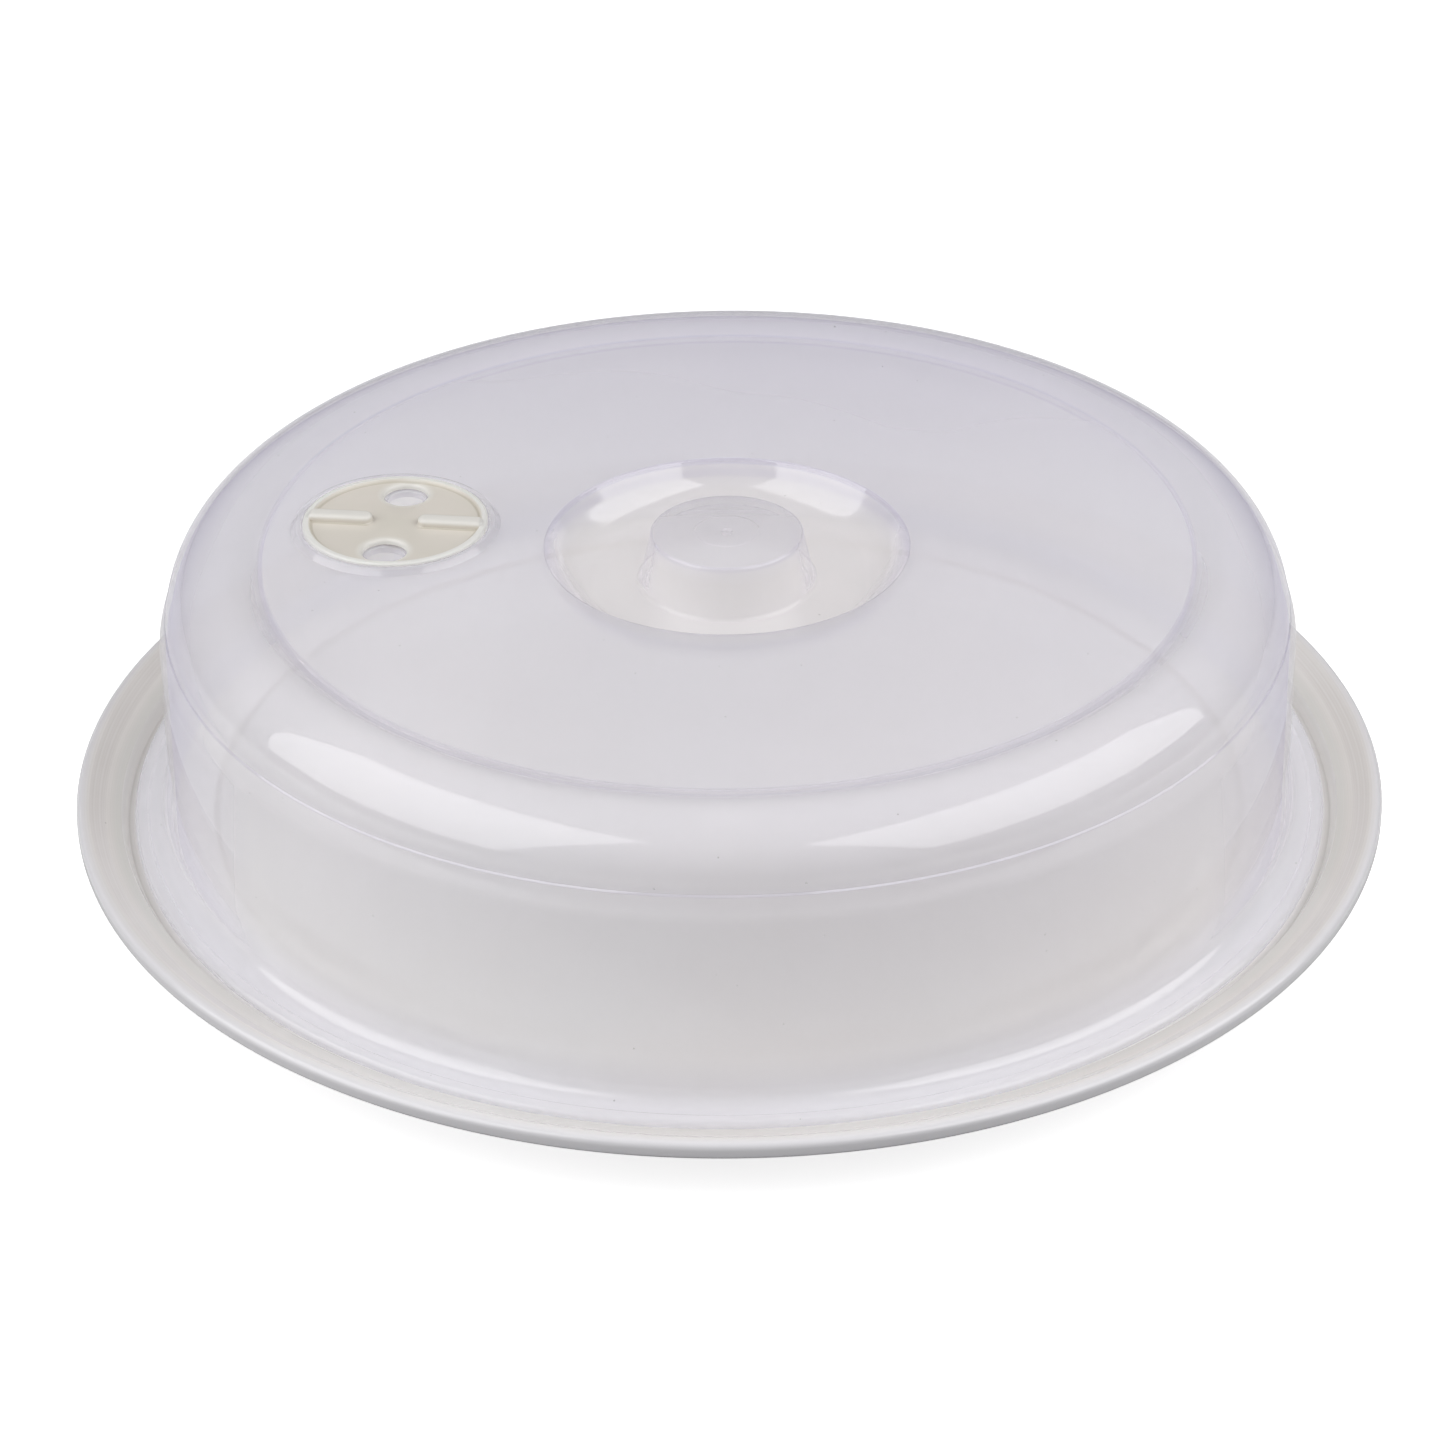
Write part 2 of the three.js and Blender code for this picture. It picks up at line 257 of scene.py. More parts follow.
def make_lid():
    """The lid as one turned solid, with its collar added and its seat and holes cut."""
    shoulder_height = SHOULDER_CENTRE[1]
    flange_top = FLANGE_BOTTOM + FLANGE_THICKNESS
    bead_top, bead_inner = flange_top + BEAD_HEIGHT, FLANGE_RADIUS - BEAD_WIDTH
    rise = math.asin((PANEL_TOP - shoulder_height) / SHOULDER_BULGE)
    fall = math.asin((SEAM_HEIGHT - shoulder_height) / SHOULDER_BULGE)
    outer = arc(SHOULDER_CENTRE, SHOULDER_BULGE, math.pi - rise, fall)
    bulge = SHOULDER_BULGE - LID_WALL
    ceiling = PANEL_TOP - LID_WALL
    inner_rise = math.asin((ceiling - shoulder_height) / bulge)
    inner = arc(SHOULDER_CENTRE, bulge, 0, math.pi - inner_rise)
    well_shift = LID_WALL * 0.65
    outside = [
        (0, GRIP_TOP - GATE_DEPTH),
        (GATE_RADIUS * 0.55, GRIP_TOP - GATE_DEPTH, 0.4),
        (GATE_RADIUS, GRIP_TOP, 0.4),
        (GATE_RING, GRIP_TOP, 0.3),
        (GATE_RING + 0.5, GRIP_TOP - GATE_RING_DEPTH, 0.3),
        (GRIP_TOP_RADIUS, GRIP_TOP - GATE_RING_DEPTH, 0.8),
        (GRIP_BASE_RADIUS, WELL_FLOOR, 1.2),
        (WELL_RADIUS, WELL_FLOOR, WELL_FILLET),
        (WELL_EDGE, PANEL_TOP, 0.7),
        (*outer[0], PANEL_FILLET),
        *outer[1:],
        (outer[-1][0] + SEAM_STEP, SEAM_HEIGHT - SEAM_STEP, 0.12),
        (SKIRT_HEAD, SKIRT_TOP, 8),
        (SKIRT_FOOT, flange_top, 3.6),
        (bead_inner, flange_top, 0.5),
        (bead_inner + BEAD_SLOPE, bead_top, 0.5),
        (FLANGE_RADIUS, bead_top, BEAD_ROUNDING),
        (FLANGE_RADIUS, FLANGE_BOTTOM, 0.2),
    ]
    inside = [
        (SKIRT_FOOT - LID_WALL, FLANGE_BOTTOM, 2.2),
        (SKIRT_HEAD - LID_WALL, SKIRT_TOP, 8),
        *inner,
        (WELL_EDGE + well_shift, ceiling, LID_WALL),
        (WELL_RADIUS + well_shift, WELL_FLOOR - LID_WALL, WELL_FILLET + LID_WALL),
        (GRIP_BASE_RADIUS - LID_WALL, WELL_FLOOR - LID_WALL, LID_WALL),
        (GRIP_TOP_RADIUS - LID_WALL, GRIP_TOP - LID_WALL, 0.8),
        (0, GRIP_TOP - LID_WALL),
    ]
    lid = turned("dome_moulding", rounded_profile(outside + inside), RING_SEGMENTS)
    combine(lid, collar_boss(), "UNION")
    cuts = [(SEAT_RADIUS, SEAT_FLOOR, COLLAR_TOP, 0.35, DIAL_SEGMENTS, VENT_CENTRE)]
    cuts += [(STEM_HOLE, PAD_BOTTOM - OVERLAP, SEAT_FLOOR, 0.2, HOLE_SEGMENTS, VENT_CENTRE)]
    for place in HOLE_CENTRES:
        cuts += [(LID_HOLE, PAD_BOTTOM - OVERLAP, SEAT_FLOOR, 0.3, HOLE_SEGMENTS, place)]
    for cut in cuts:
        combine(lid, flared_cutter("cut", *cut), "DIFFERENCE")
    return lid


# ---------------------------------------------------------------- vent dial
DIAL_RADIUS, DIAL_FACE, DIAL_RIM_TOP, DIAL_RIM = 21.0, 78.0, 78.75, 1.9
DIAL_BOTTOM = SEAT_FLOOR + RUNNING_GAP
RIM_SLOPE, RIM_ROUNDING = 0.5, 0.2
DIAL_HOLE, FLARE = 5.0, 0.85
RIB_INNER, RIB_OUTER, RIB_WIDTH, RIB_HEIGHT, RIB_ROUNDING = 5.2, 19.9, 3.9, 1.75, 1.0
RIB_FOOT, RIB_ROOT, RIB_LIFT = 0.3, 0.3, 0.01
# Share of a loop's full offset that is used, so that its corners never close to a point.
OPEN_SHARE = 0.999
STEM_RADIUS, BARB_RADIUS, BARB_DROP, BARB_LENGTH, BARB_TAPER = 3.0, 4.3, 0.4, 2.2, 0.4
STEM_ROOT, SLOT_WIDTH = 0.4, 1.2


def rib_loop(offset):
    """The rib's outline along +X, moved outwards by offset: two soft corners and a round end."""
    half = RIB_WIDTH / 2
    turn = RIB_INNER + half
    corner = RIB_ROUNDING + offset
    outer = RIB_OUTER - RIB_ROUNDING
    steps = 8
    points = []
    for start, middle in ((-math.pi / 2, RIB_ROUNDING - half), (0, half - RIB_ROUNDING)):
        for i in range(steps + 1):
            a = start + math.pi / 2 * i / steps
            points.append((outer + corner * math.cos(a), middle + corner * math.sin(a)))
    for i in range(steps * 3 + 1):
        a = math.pi / 2 + math.pi * i / (steps * 3)
        points.append((turn + (half + offset) * math.cos(a), (half + offset) * math.sin(a)))
    return points


def make_rib(direction):
    """A finger rib with a rounded top and a small fillet at its foot."""
    steps = 6
    quarter = [math.pi / 2 * i / steps for i in range(steps + 1)]
    foot = DIAL_FACE + RIB_LIFT
    loops = [(RIB_FOOT, DIAL_FACE - RIB_ROOT), (RIB_FOOT, foot)]
    loops += [
        (RIB_FOOT * (1 - math.sin(a)), foot + RIB_FOOT * (1 - math.cos(a))) for a in quarter[1:]
    ]
    shoulder = DIAL_FACE + RIB_HEIGHT - RIB_ROUNDING
    loops += [
        (-RIB_ROUNDING * (1 - math.cos(a)), shoulder + RIB_ROUNDING * math.sin(a))
        for a in quarter
    ]
    bm = bmesh.new()
    rings = []
    for offset, z in loops:
        ring = [
            bm.verts.new((-VENT_OFFSET + direction * x, direction * y, z))
            for x, y in rib_loop(offset * OPEN_SHARE)
        ]
        rings.append(ring)
    for low, high in zip(rings, rings[1:]):
        for i in range(len(low)):
            j = (i + 1) % len(low)
            bm.faces.new([low[i], low[j], high[j], high[i]])
    bm.faces.new(list(reversed(rings[0])))
    bm.faces.new(rings[-1])
    return finish_mesh(bm, "rib")


def make_box(name, low, high):
    """A box between two opposite corners."""
    bm = bmesh.new()
    bmesh.ops.create_cube(bm, size=1)
    size = Vector(high) - Vector(low)
    bmesh.ops.scale(bm, vec=size, verts=bm.verts)
    bmesh.ops.translate(bm, vec=(Vector(low) + Vector(high)) / 2, verts=bm.verts)
    return finish_mesh(bm, name)


def make_dial():
    """The dial with its split barbed stem, two finger ribs and two holes."""
    face = DIAL_RADIUS - DIAL_RIM
    dial = turned(
        "dial_moulding",
        rounded_profile(
            [
                (0, DIAL_FACE),
                (face, DIAL_FACE, 0.35),
                (face + RIM_SLOPE, DIAL_RIM_TOP, RIM_ROUNDING),
                (DIAL_RADIUS, DIAL_RIM_TOP, SOFT_EDGE),
                (DIAL_RADIUS, DIAL_BOTTOM, SOFT_EDGE),
                (0, DIAL_BOTTOM),
            ]
        ),
        DIAL_SEGMENTS,
        VENT_CENTRE,
    )
    barb_top = PAD_BOTTOM - BARB_DROP
    tip = barb_top - BARB_LENGTH
    root = DIAL_BOTTOM + STEM_ROOT
    stem_profile = [
        (0, root),
        (STEM_RADIUS, root),
        (STEM_RADIUS, barb_top),
        (BARB_RADIUS, barb_top, 0.25),
        (STEM_RADIUS - BARB_TAPER, tip, 0.3),
        (0, tip),
    ]
    stem = turned("stem", rounded_profile(stem_profile), HOLE_SEGMENTS, VENT_CENTRE)
    reach, half = BARB_RADIUS * 1.5, SLOT_WIDTH / 2
    slot = make_box(
        "slot",
        (-VENT_OFFSET - reach, -half, tip - OVERLAP),
        (-VENT_OFFSET + reach, half, SEAT_FLOOR - OVERLAP),
    )
    combine(stem, slot, "DIFFERENCE")
    combine(dial, stem, "UNION")
    for direction in (1, -1):
        combine(dial, make_rib(direction), "UNION")
    for place in HOLE_CENTRES:
        hole = flared_cutter(
            "hole", DIAL_HOLE, DIAL_BOTTOM - OVERLAP, DIAL_FACE, FLARE, HOLE_SEGMENTS, place
        )
        combine(dial, hole, "DIFFERENCE")
    return dial


# ---------------------------------------------------------------- materials
class Nodes:
    """A material's node tree with short calls for the nodes used here."""

    def __init__(self, name):
        self.material = bpy.data.materials.new(name)
        self.material.use_nodes = True
        self.tree = self.material.node_tree
        self.shader = self.tree.nodes["Principled BSDF"]
        self.place = self.tree.nodes.new("ShaderNodeTexCoord").outputs["Object"]

    def node(self, kind, inputs=None, **settings):
        """Adds a node; an input takes a value or another node's output."""
        made = self.tree.nodes.new(kind)
        for key, value in settings.items():
            setattr(made, key, value)
        for key, value in (inputs or {}).items():
            if isinstance(value, bpy.types.NodeSocket):
                self.tree.links.new(value, made.inputs[key])
            else:
                made.inputs[key].default_value = value
        return made

    def noise(self, scale, detail=2.0, rough=0.5, stretch=None, turn=0.0):
        """Noise from about 0 to 1 over the piece, stretched and turned if asked."""
        place = self.place
        if stretch:
            mapping = {"Vector": place, "Scale": stretch, "Rotation": (0, 0, turn)}
            place = self.node("ShaderNodeMapping", mapping).outputs[0]
        inputs = {"Vector": place, "Scale": scale, "Detail": detail, "Roughness": rough}
        return self.node("ShaderNodeTexNoise", inputs).outputs["Fac"]

    def ramp(self, value, low, high, out_low=0.0, out_high=1.0):
        """Maps low..high to out_low..out_high and holds the ends."""
        inputs = {"Value": value, "From Min": low, "From Max": high}
        inputs.update({"To Min": out_low, "To Max": out_high})
        return self.node("ShaderNodeMapRange", inputs, clamp=True).outputs[0]

    def math(self, operation, a, b):
        return self.node("ShaderNodeMath", {0: a, 1: b}, operation=operation).outputs[0]

    def mix_value(self, factor, a, b):
        inputs = {0: factor, 2: a, 3: b}
        return self.node("ShaderNodeMix", inputs, data_type="FLOAT").outputs[0]

    def mix(self, factor, a, b):
        """Mixes two colours, each an (r, g, b) or another node's output."""
        made = self.node("ShaderNodeMix", data_type="RGBA")
        for key, value in ((0, factor), (6, a), (7, b)):
            if isinstance(value, bpy.types.NodeSocket):
                self.tree.links.new(value, made.inputs[key])
            elif key == 0:
                made.inputs[key].default_value = value
            else:
                made.inputs[key].default_value = (*value, 1)
        return made.outputs[2]

    def line(self, value, centre, width):
        """1 where value (metres) is at centre (mm), fading out over width (mm) on each side."""
        off = self.math("ABSOLUTE", self.math("SUBTRACT", value, centre * MM), 0.0)
        return self.ramp(off, width * 0.4 * MM, width * MM, 1, 0)

    def radius(self, centre=(0, 0)):
        """Distance in metres from the vertical axis through centre (mm)."""
        moved = self.vector("SUBTRACT", self.place, (centre[0] * MM, centre[1] * MM, 0))
        flat = self.vector("MULTIPLY", moved, (1, 1, 0))
        lengths = self.node("ShaderNodeVectorMath", {0: flat}, operation="LENGTH")
        return lengths.outputs["Value"]

    def vector(self, operation, a, b):
        return self.node("ShaderNodeVectorMath", {0: a, 1: b}, operation=operation).outputs[0]

    def axis(self, letter):
        """Position in metres along one axis of the shared frame."""
        return self.node("ShaderNodeSeparateXYZ", {0: self.place}).outputs[letter]

    def specks(self, scale, size, share):
        """Sparse round specks: 1 on a speck, 0 elsewhere.

        scale is the cells in a metre, size a speck's share of a cell, share that of speckled cells.
        """
        cells = self.node("ShaderNodeTexVoronoi", {"Vector": self.place, "Scale": scale})
        chosen = self.node("ShaderNodeSeparateColor", {0: cells.outputs["Color"]}).outputs[0]
        dot = self.ramp(cells.outputs["Distance"], size * 0.6, size, 1, 0)
        return self.math("MULTIPLY", dot, self.ramp(chosen, share, share * 0.98, 0, 1))

    def scratches(self, turns, threshold):
        """Fine straight scratches in a few directions: 1 on a scratch, 0 elsewhere."""
        total = None
        for i, turn in enumerate(turns):
            streak = self.noise(9.0 + i, 3.0, 0.55, (6.0, 130.0, 40.0), turn)
            line = self.ramp(streak, threshold, threshold + 0.05)
            total = line if total is None else self.math("MAXIMUM", total, line)
        return total

    def bump(self, height, strength, distance, below=None):
        """A bumped normal, on top of the normal below it if there is one."""
        inputs = {"Height": height, "Strength": strength, "Distance": distance}
        if below is not None:
            inputs["Normal"] = below
        return self.node("ShaderNodeBump", inputs).outputs[0]

    def connect(self, **sockets):
        """Sets or links the shader's sockets, with _ for a space, and returns the material."""
        for name, value in sockets.items():
            socket = self.shader.inputs[name.replace("_", " ")]
            if isinstance(value, bpy.types.NodeSocket):
                self.tree.links.new(value, socket)
            else:
                socket.default_value = value
        return self.material


PLATE_WHITE = (0.84, 0.83, 0.82)
PLATE_WARM = (0.81, 0.785, 0.765)
PLATE_DARK = (0.69, 0.66, 0.63)
PLATE_LIP = (0.80, 0.79, 0.81)
PLATE_STEP_SHADE = (0.60, 0.60, 0.57)
LID_CLEAR = (0.885, 0.875, 0.88)
LID_BLUSH = (0.91, 0.87, 0.875)
LID_VIOLET_SHADE = (0.685, 0.668, 0.752)
LID_LOW = (0.75, 0.745, 0.79)
LID_WELL = (0.76, 0.73, 0.725)
LID_CREASE_SHADE = (0.42, 0.38, 0.62)
LID_EDGE = (0.50, 0.465, 0.66)
DIAL_IVORY = (0.735, 0.69, 0.625)
DIAL_SHADE = (0.70, 0.665, 0.59)
DIAL_SHEEN = (0.83, 0.825, 0.79)
DIAL_CORNER_SHADE = (0.42, 0.38, 0.28)
SPECK_COLOUR = (0.10, 0.09, 0.08)
LID_ALPHA = 0.4
PLASTIC_IOR = 1.5
# The lid's inner face is duller: from and fully at these depths below its outer face.
INNER_ROUGHNESS = 0.5
INNER_FROM, INNER_FULL = 0.6, 0.9
# The plate darkens towards the left and right: from and fully at these distances.
SIDES_FROM, SIDES_FULL = 40, 120
# Noise scale of the faint turned rings on the terrace.
PLATE_RINGS = 520.0


def plate_material():
    """Glossy warm white moulded plastic, darker on its terrace, with painted shade at the ledge and
    step, handling marks and peel.
    """
    n = Nodes("plate_white")
    body = n.mix(n.ramp(n.noise(14.0, 3.0), 0.35, 0.7), PLATE_WHITE, PLATE_WARM)
    radius = n.radius()
    terrace = n.ramp(radius, (LEDGE_RADIUS - 2) * MM, LEDGE_RADIUS * MM)
    lip = n.ramp(radius, (RIM_RADIUS - 3) * MM, (RIM_RADIUS - 0.8) * MM)
    side = n.math("ABSOLUTE", n.axis("X"), 0.0)
    toward_sides = n.ramp(side, SIDES_FROM * MM, SIDES_FULL * MM, 0.35, 1)
    # The terrace darkens towards the left and right, in soft patches and faint rings.
    darkening = n.math("MULTIPLY", toward_sides, n.ramp(n.noise(22.0, 4.0), 0.3, 0.65, 0.7, 1.0))
    along = {"W": n.math("MULTIPLY", radius, PLATE_RINGS)}
    rings = n.node("ShaderNodeTexNoise", along, noise_dimensions="1D").outputs["Fac"]
    darkening = n.math("MULTIPLY", darkening, n.ramp(rings, 0.35, 0.65, 0.75, 1.1))
    body = n.mix(n.math("MULTIPLY", terrace, darkening), body, PLATE_DARK)
    body = n.mix(lip, body, PLATE_LIP)
    # Painted shade: a thin dark line along the ledge's inner edge.
    ledge_shade = n.math("MULTIPLY", n.line(radius, LEDGE_INNER - 0.6, 0.9), 0.7)
    body = n.mix(ledge_shade, body, PLATE_DARK)
    # Painted shade: a dark band at the step beside the lid's flange, stronger to the left and
    # right.
    step_shade = n.line(radius, STEP_RADIUS + 0.3, 2.6)
    step_shade = n.math("MULTIPLY", step_shade, n.math("MULTIPLY", toward_sides, 0.5))
    body = n.mix(step_shade, body, PLATE_STEP_SHADE)
    dust = n.specks(210.0, 0.07, 0.06)
    colour = n.mix(n.math("MULTIPLY", dust, 0.5), body, SPECK_COLOUR)
    marks = n.scratches((0.3, 1.5, 2.6), 0.73)
    haze = n.ramp(n.noise(60.0, 4.0), 0.15, 0.85, 0.12, 0.2)
    rough = n.math("ADD", haze, n.math("MULTIPLY", marks, 0.1))
    peel = n.bump(n.noise(420.0, 2.0), 0.1, 0.00006)
    dents = n.bump(marks, 0.2, 0.00004, peel)
    return n.connect(
        Base_Color=colour,
        Roughness=rough,
        Normal=dents,
        IOR=PLASTIC_IOR,
        Coat_Weight=0.3,
        Coat_Roughness=0.04,
    )


def lid_crease_shade(n, radius, height):
    """1 along the lid's moulded creases, where painted shade darkens them to violet."""
    ring = n.math("MULTIPLY", n.line(radius, PANEL_EDGE, 0.7), 0.55)
    well = n.line(radius, WELL_EDGE - 0.2, 0.5)
    seam = n.line(height, SEAM_HEIGHT - SEAM_STEP / 2, 0.35)
    seam = n.math("MULTIPLY", seam, n.ramp(radius, 100 * MM, 110 * MM, 0, 0.6))
    grip = n.line(radius, GRIP_TOP_RADIUS - 0.1, 0.4)
    grip = n.math("MULTIPLY", grip, n.ramp(height, PANEL_TOP * MM, GRIP_TOP * MM, 0, 0.5))
    return n.math("MAXIMUM", n.math("MAXIMUM", ring, well), n.math("MAXIMUM", seam, grip))


def lid_haze_and_shade(n, radius, height):
    """The lid's milky tint: neutral in the wall, violet and partly painted shade above it, warm in
    the well, grey below.
    """
    blush = n.math("MULTIPLY", n.ramp(n.noise(7.0, 2.0), 0.45, 0.7), 0.6)
    haze = n.mix(blush, LID_CLEAR, LID_BLUSH)
    # Above the wall the violet is partly painted shade, darker than the plastic's own tint.
    upper = n.ramp(height, (SKIRT_TOP - 30) * MM, PANEL_TOP * MM, 0, 0.85)
    in_well = n.ramp(radius, (WELL_EDGE - 4) * MM, WELL_EDGE * MM, 1, 0)
    below_panel = n.ramp(height, (PANEL_TOP - 1) * MM, GRIP_TOP * MM, 0.85, 0)
    in_well = n.math("MULTIPLY", in_well, below_panel)
    upper = n.math("MULTIPLY", upper, n.math("SUBTRACT", 1.0, in_well))
    # Painted shade: the violet deepens towards the back.
    upper = n.math("MULTIPLY", upper, n.ramp(n.axis("Y"), -90 * MM, 60 * MM, 0.6, 1.15))
    upper = n.math("MULTIPLY", upper, n.ramp(n.noise(6.0, 2.0), 0.3, 0.7, 0.7, 1))
    haze = n.mix(upper, haze, LID_VIOLET_SHADE)
    haze = n.mix(n.math("MULTIPLY", in_well, 0.8), haze, LID_WELL)
    low = n.ramp(height, FLANGE_BOTTOM * MM, (FLANGE_BOTTOM + 12) * MM, 1, 0)
    return n.mix(low, haze, LID_LOW)


def lid_inside(n, radius, height):
    """1 on the inner face of the wall, the shoulder and the panel, which is less polished."""
    half_wall = LID_WALL / 2
    ring_radius, ring_height = (size * MM for size in SHOULDER_CENTRE)
    across = n.math("SUBTRACT", radius, ring_radius)
    above = n.math("SUBTRACT", height, ring_height)
    squares = n.math("ADD", n.math("MULTIPLY", across, across), n.math("MULTIPLY", above, above))
    bulge = n.math("SQRT", squares, 0.0)
    deep, shallow = SHOULDER_BULGE - INNER_FULL, SHOULDER_BULGE - INNER_FROM
    shoulder = n.ramp(bulge, deep * MM, shallow * MM, 1, 0)
    head, widest = SKIRT_HEAD, SHOULDER_CENTRE[0] + SHOULDER_BULGE
    low, high = (head - half_wall) * MM, (widest - half_wall) * MM
    skin = n.ramp(height, SKIRT_TOP * MM, ring_height, low, high)
    wall = n.math("LESS_THAN", radius, skin)
    panel = n.math("LESS_THAN", height, (PANEL_TOP - half_wall) * MM)
    panel = n.math("MULTIPLY", panel, n.math("GREATER_THAN", radius, (WELL_EDGE + 1) * MM))
    on_panel = n.math("LESS_THAN", radius, ring_radius)
    top = n.mix_value(on_panel, shoulder, panel)
    return n.mix_value(n.math("GREATER_THAN", height, ring_height), wall, top)


def lid_material():
    """Clear, faintly milky moulded plastic with a violet cast and painted shade, faint scratches
    and a few specks.
    """
    n = Nodes("lid_clear")
    radius, height = n.radius(), n.axis("Z")
    milk_and_shade = lid_haze_and_shade(n, radius, height)
    # Painted shade: dark violet lines along the lid's creases.
    milk_and_shade = n.mix(n.math("MULTIPLY", lid_crease_shade(n, radius, height), 0.6), milk_and_shade, LID_CREASE_SHADE)
    facing = n.node("ShaderNodeLayerWeight", {"Blend": 0.5}).outputs["Facing"]
    from_vent = n.radius(VENT_CENTRE)
    off_collar = n.ramp(from_vent, COLLAR_FOOT_RADIUS * MM, (COLLAR_FOOT_RADIUS + 1) * MM)
    grazing = n.math("MULTIPLY", n.ramp(facing, 0.55, 1.0, 0, 0.85), off_collar)
    milk_and_shade = n.mix(grazing, milk_and_shade, LID_EDGE)
    colour = n.mix(n.specks(230.0, 0.055, 0.16), milk_and_shade, SPECK_COLOUR)
    gloss = n.ramp(n.noise(45.0, 4.0), 0.2, 0.8, 0.02, 0.05)
    marks = n.scratches((0.2, 1.1, 2.3), 0.75)
    inside = lid_inside(n, radius, height)
    rough = n.math("ADD", gloss, n.math("MULTIPLY", marks, 0.1))
    rough = n.mix_value(inside, rough, INNER_ROUGHNESS)
    flow = n.bump(n.noise(14.0, 1.0), 0.12, 0.0002)
    return n.connect(
        Base_Color=colour,
        Roughness=rough,
        Normal=flow,
        IOR=PLASTIC_IOR,
        Specular_IOR_Level=1.0,
        Coat_Weight=n.math("SUBTRACT", 1.0, inside),
        Coat_Roughness=0.015,
        Alpha=LID_ALPHA,
    )


def dial_corner_shade(n, radius, height):
    """1 where painted shade darkens the dial's face: inside its rim and along the feet of its ribs.
    """
    place = n.vector("SUBTRACT", n.place, (-VENT_OFFSET * MM, 0, 0))
    axes = n.node("ShaderNodeSeparateXYZ", {0: place}).outputs
    along, across = (n.math("ABSOLUTE", axes[i], 0.0) for i in (0, 1))
    ribs = n.line(across, RIB_WIDTH / 2 + RIB_FOOT, 0.45)
    ribs = n.math("MULTIPLY", ribs, n.ramp(along, RIB_INNER * MM, (RIB_INNER + 1.2) * MM))
    rim = n.line(radius, DIAL_RADIUS - DIAL_RIM - 0.1, 0.4)
    low = n.ramp(height, (DIAL_FACE + 0.25) * MM, (DIAL_FACE + 0.6) * MM, 1, 0)
    return n.math("MULTIPLY", n.math("MAXIMUM", ribs, rim), low)


def dial_material():
    """Ivory satin plastic with a fine grain, paler with painted sheen round its holes and along its
    rim and ribs, darker with painted shade in its corners.
    """
    n = Nodes("dial_ivory")
    body = n.mix(n.ramp(n.noise(55.0, 3.0), 0.35, 0.7), DIAL_IVORY, DIAL_SHADE)
    radius, height = n.radius(VENT_CENTRE), n.axis("Z")
    # Painted sheen: the raised rim and ribs and the hole edges are paler.
    pale = n.ramp(height, (DIAL_FACE + 0.7) * MM, (DIAL_FACE + 1.3) * MM, 0, 0.65)
    rim = n.ramp(radius, (DIAL_RADIUS - 1.6) * MM, (DIAL_RADIUS - 1.2) * MM)
    pale = n.math("MAXIMUM", pale, rim)
    for centre in HOLE_CENTRES:
        near = n.ramp(n.radius(centre), DIAL_HOLE * MM, (DIAL_HOLE + 1.8) * MM, 0.75, 0)
        pale = n.math("MAXIMUM", pale, near)
    colour = n.mix(pale, body, DIAL_SHEEN)
    # Painted shade in the face's corners, inside the rim and along the ribs' feet.
    darkening = n.math("MULTIPLY", dial_corner_shade(n, radius, height), 0.4)
    colour = n.mix(darkening, colour, DIAL_CORNER_SHADE)
    dust = n.math("MULTIPLY", n.specks(420.0, 0.07, 0.03), 0.4)
    colour = n.mix(dust, colour, SPECK_COLOUR)
    rough = n.ramp(n.noise(110.0, 2.0), 0.15, 0.85, 0.26, 0.38)
    grain = n.bump(n.noise(1500.0, 3.0), 0.2, 0.00003)
    return n.connect(
        Base_Color=colour,
        Roughness=rough,
        Normal=grain,
        IOR=PLASTIC_IOR,
        Coat_Weight=0.2,
        Coat_Roughness=0.1,
    )


# ---------------------------------------------------------------- stage, light and camera
FLOOR_REACH, FLOOR_GLOW = 4000, 0.7
CAMERA_AZIMUTH, CAMERA_DISTANCE, CAMERA_HEIGHT = math.radians(7.2), 0.87573, 0.55855
CAMERA_PITCH, CAMERA_YAW = math.radians(31.117), math.radians(-7.29)
CAMERA_ROLL = math.radians(-0.529)
SENSOR, LENS = 36.0, 110.65


def make_floor():
    """A pale floor that only glows to white where nothing clear stands before it."""
    bm = bmesh.new()
    bmesh.ops.create_grid(bm, x_segments=8, y_segments=8, size=FLOOR_REACH)
    floor = finish_mesh(bm, "floor")
    n = Nodes("floor_white")
    soft = n.ramp(n.noise(1.5, 2.0), 0.3, 0.7, 0.55, 0.65)
    tone = n.mix(n.noise(2.0, 2.0), (0.93, 0.93, 0.93), (0.95, 0.95, 0.95))
    path = n.node("ShaderNodeLightPath")
    open_view = n.math("LESS_THAN", path.outputs["Transparent Depth"], 0.5)
    open_view = n.math("MULTIPLY", open_view, path.outputs["Is Camera Ray"])
    glow = n.math("MULTIPLY", open_view, FLOOR_GLOW)
    white = (1, 1, 1, 1)
    n.connect(Base_Color=tone, Roughness=soft, Emission_Color=white, Emission_Strength=glow)
    floor.data.materials.append(n.material)
    # The floor lights nothing, so that its glow doesn't reach the underside of the object.
    floor.visible_diffuse = False


def softbox(name, azimuth, elevation, distance, width, height, power):
    """A rectangular soft light aimed at the origin; azimuth 0 is towards -Y and 90 towards +X."""
    data = bpy.data.lights.new(name, "AREA")
    data.shape, data.size, data.size_y, data.energy = "RECTANGLE", width, height, power
    light = bpy.data.objects.new(name, data)
    bpy.context.scene.collection.objects.link(light)
    a, e = math.radians(azimuth), math.radians(elevation)
    away = Vector((math.sin(a) * math.cos(e), -math.cos(a) * math.cos(e), math.sin(e)))
    light.location = away * distance
    light.rotation_mode = "QUATERNION"
    light.rotation_quaternion = (-away).to_track_quat("-Z", "Y")
    return light


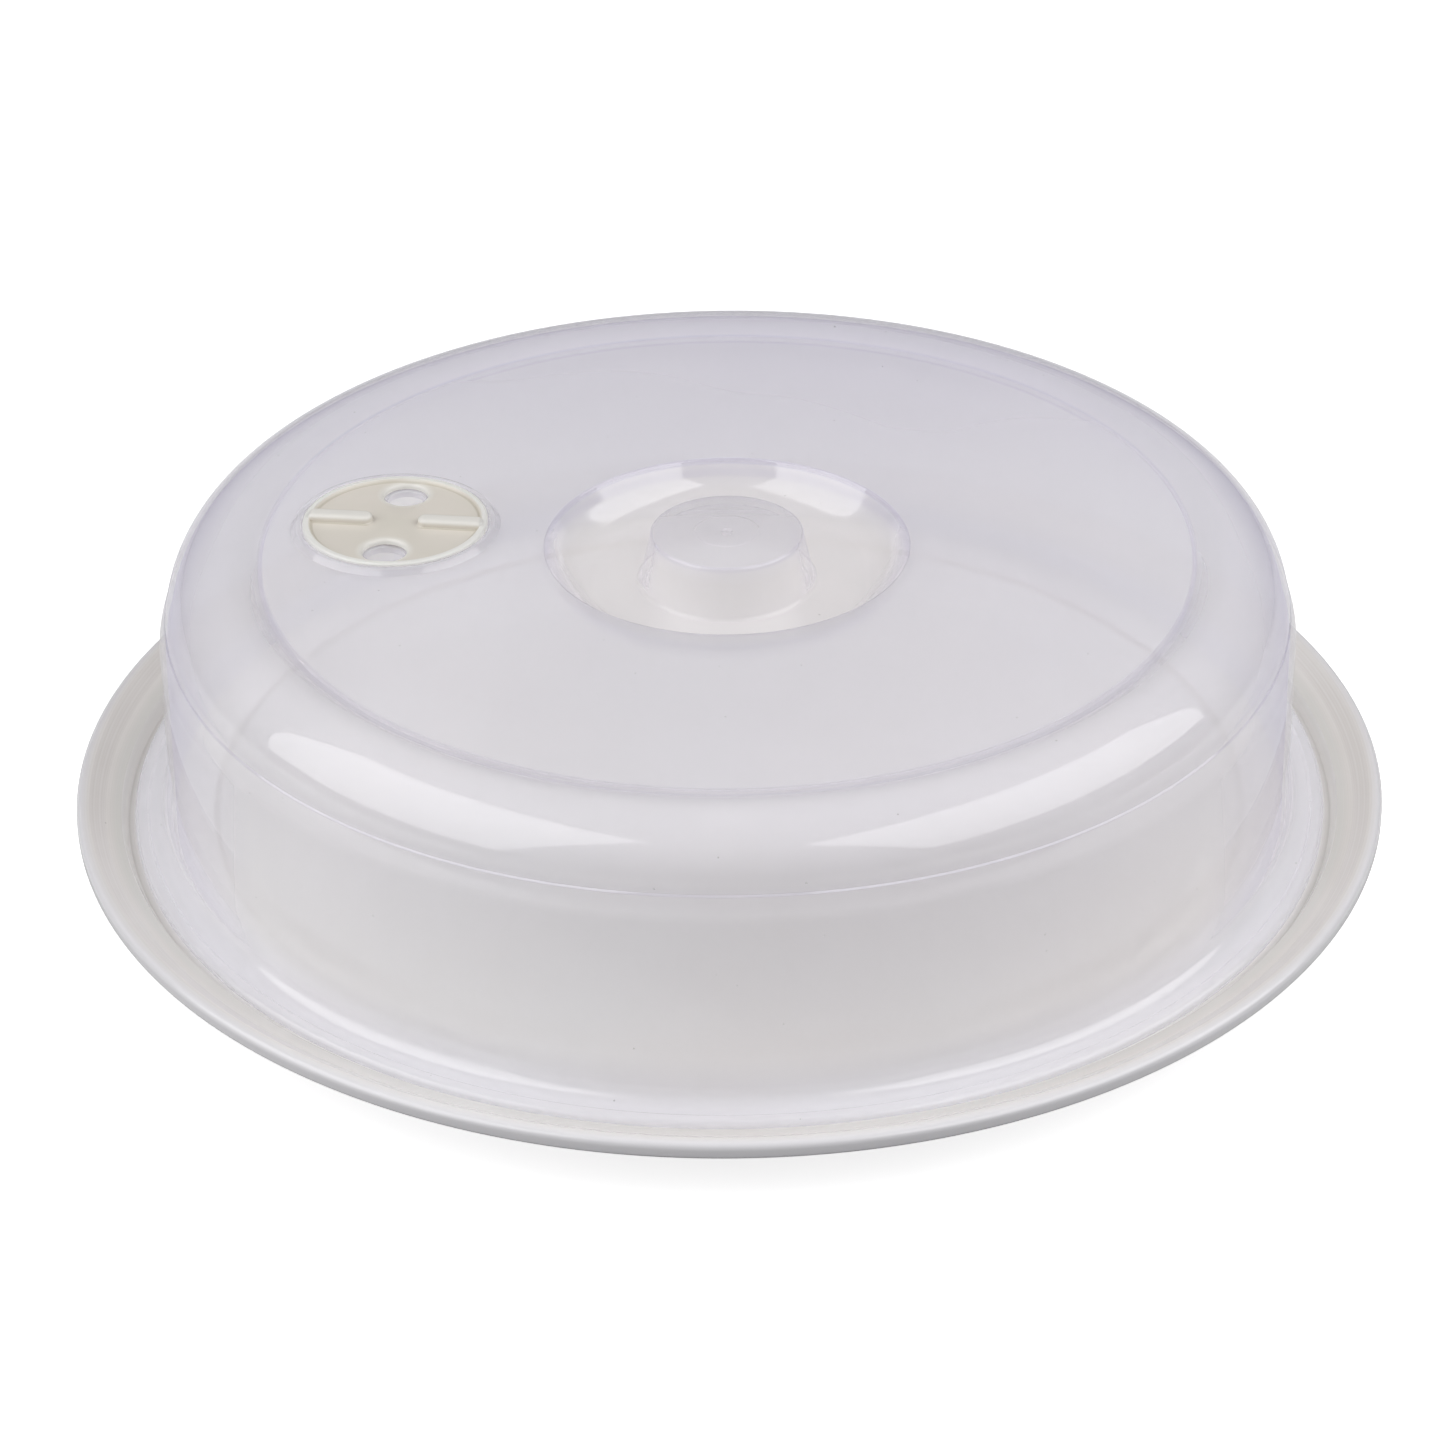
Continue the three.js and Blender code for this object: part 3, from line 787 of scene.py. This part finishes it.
def make_world(colour, strength, backdrop):
    """Dim surroundings that show as a pale backdrop where they are seen directly."""
    world = bpy.data.worlds.new("studio")
    world.use_nodes = True
    tree = world.node_tree
    back = tree.nodes["Background"]
    back.inputs["Color"].default_value = (*colour, 1)
    path = tree.nodes.new("ShaderNodeLightPath")
    shown = tree.nodes.new("ShaderNodeMapRange")
    shown.inputs["To Min"].default_value = strength
    shown.inputs["To Max"].default_value = backdrop
    tree.links.new(path.outputs["Is Camera Ray"], shown.inputs["Value"])
    tree.links.new(shown.outputs[0], back.inputs["Strength"])
    bpy.context.scene.world = world


def make_camera():
    """The photograph's camera, solved from the circles of the rim, flange, shoulder and well."""
    data = bpy.data.cameras.new("camera")
    data.sensor_width, data.lens = SENSOR, LENS
    data.clip_start, data.clip_end = 0.05, 50
    camera = bpy.data.objects.new("camera", data)
    bpy.context.scene.collection.objects.link(camera)
    level = math.cos(CAMERA_PITCH)
    heading = Vector((math.sin(CAMERA_YAW), math.cos(CAMERA_YAW), 0))
    look = heading * level - Vector((0, 0, math.sin(CAMERA_PITCH)))
    right = Vector((math.cos(CAMERA_YAW), -math.sin(CAMERA_YAW), 0))
    up = right.cross(look)
    c, s = math.cos(CAMERA_ROLL), math.sin(CAMERA_ROLL)
    side, top = right * c + up * s, up * c - right * s
    place = Vector((math.sin(CAMERA_AZIMUTH), -math.cos(CAMERA_AZIMUTH), 0)) * CAMERA_DISTANCE
    place.z = CAMERA_HEIGHT
    turn = Matrix((side, top, -look)).transposed().to_4x4()
    camera.matrix_world = Matrix.Translation(place) @ turn
    bpy.context.scene.camera = camera


# ---------------------------------------------------------------- assembly
PIECES = (
    (make_plate, plate_material, "plate", "plate", "plate_plastic"),
    (make_lid, lid_material, "dome_lid", "lid", "lid_plastic"),
    (make_dial, dial_material, "vent_dial", "dial", "dial_plastic"),
)
for make, material, node, body, slot in PIECES:
    piece = make()
    smooth(piece)
    piece.data.materials.clear()
    piece.data.materials.append(material())
    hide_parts(node)
    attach(piece, body)
    # The clear lid would shade the plate like a solid one.
    piece.visible_shadow = node != "dome_lid"

make_floor()
make_world((0.97, 0.96, 1.0), strength=0.16, backdrop=0.85)
softbox("left_softbox", -61, 38, distance=1.25, width=1.35, height=1.25, power=11.0)
softbox("right_softbox", 77, 42, distance=1.25, width=1.6, height=0.95, power=10.2)
ceiling = softbox("ceiling_bounce", 0, 90, distance=1.8, width=2.4, height=2.4, power=6.0)
# The wide top light only fills: its reflection would lie over the whole panel.
ceiling.visible_glossy = False
make_camera()
bpy.context.scene.view_settings.view_transform = "Standard"
